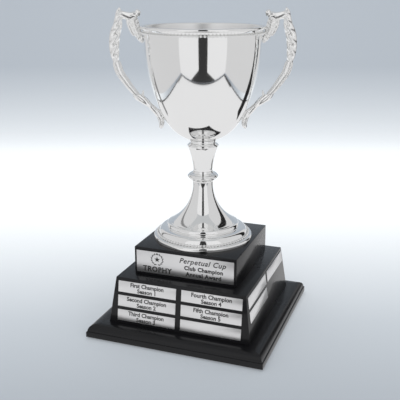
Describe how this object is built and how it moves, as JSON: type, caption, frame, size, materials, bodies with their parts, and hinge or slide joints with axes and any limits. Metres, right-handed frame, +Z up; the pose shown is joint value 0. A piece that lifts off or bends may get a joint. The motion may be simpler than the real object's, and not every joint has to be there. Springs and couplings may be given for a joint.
{
  "type": "cup trophy",
  "caption": "Two-handled polished metal presentation cup on a stepped black perpetual base with engraved plates, for awarding and recording winners.",
  "frame": {"origin": "centre of the base at the surface it stands on", "axes": "+Z up the cup's axis, +X to the right along the base's front, the front with the header plate faces -Y"},
  "size_m": [0.254, 0.254, 0.4471],
  "materials": {
    "silver_plate": "mirror polished",
    "cast_silver": "bright cast, hand buffed",
    "zinc_steel": "zinc plated",
    "black_lacquer": "high gloss piano lacquer on fibreboard",
    "glue_block": "bare softwood",
    "engraving_plate": "satin with bright edges",
    "rubber_pad": "matt"
  },
  "bodies": {
    "root": {"bowl": "silver_plate", "rim_bead_ring": "silver_plate", "bowl_collar": "silver_plate", "upper_stem": "silver_plate", "stem_knop": "silver_plate", "foot": "silver_plate", "foot_bead_ring": "silver_plate", "handle_left": "cast_silver", "handle_right": "cast_silver", "handle_screws": "zinc_steel", "handle_washers": "zinc_steel", "tie_rod": "zinc_steel", "bowl_washer": "zinc_steel", "dome_nut": "zinc_steel", "base_washer": "zinc_steel", "base_nut": "zinc_steel", "riser_screws": "zinc_steel", "tier_screws": "zinc_steel", "riser_top": "black_lacquer", "riser_panel_front": "black_lacquer", "riser_panel_right": "black_lacquer", "riser_panel_back": "black_lacquer", "riser_panel_left": "black_lacquer", "tier_top": "black_lacquer", "tier_panel_front": "black_lacquer", "tier_panel_right": "black_lacquer", "tier_panel_back": "black_lacquer", "tier_panel_left": "black_lacquer", "plinth_moulding_front": "black_lacquer", "plinth_moulding_right": "black_lacquer", "plinth_moulding_back": "black_lacquer", "plinth_moulding_left": "black_lacquer", "plinth_board": "black_lacquer", "riser_corner_blocks": "glue_block", "tier_corner_blocks": "glue_block", "header_plate": "engraving_plate", "name_plate_front_1": "engraving_plate", "name_plate_front_2": "engraving_plate", "name_plate_front_3": "engraving_plate", "name_plate_front_4": "engraving_plate", "name_plate_front_5": "engraving_plate", "name_plate_front_6": "engraving_plate", "name_plate_right_1": "engraving_plate", "name_plate_right_2": "engraving_plate", "name_plate_right_3": "engraving_plate", "rubber_feet": "rubber_pad"}
  },
  "joints": []
}
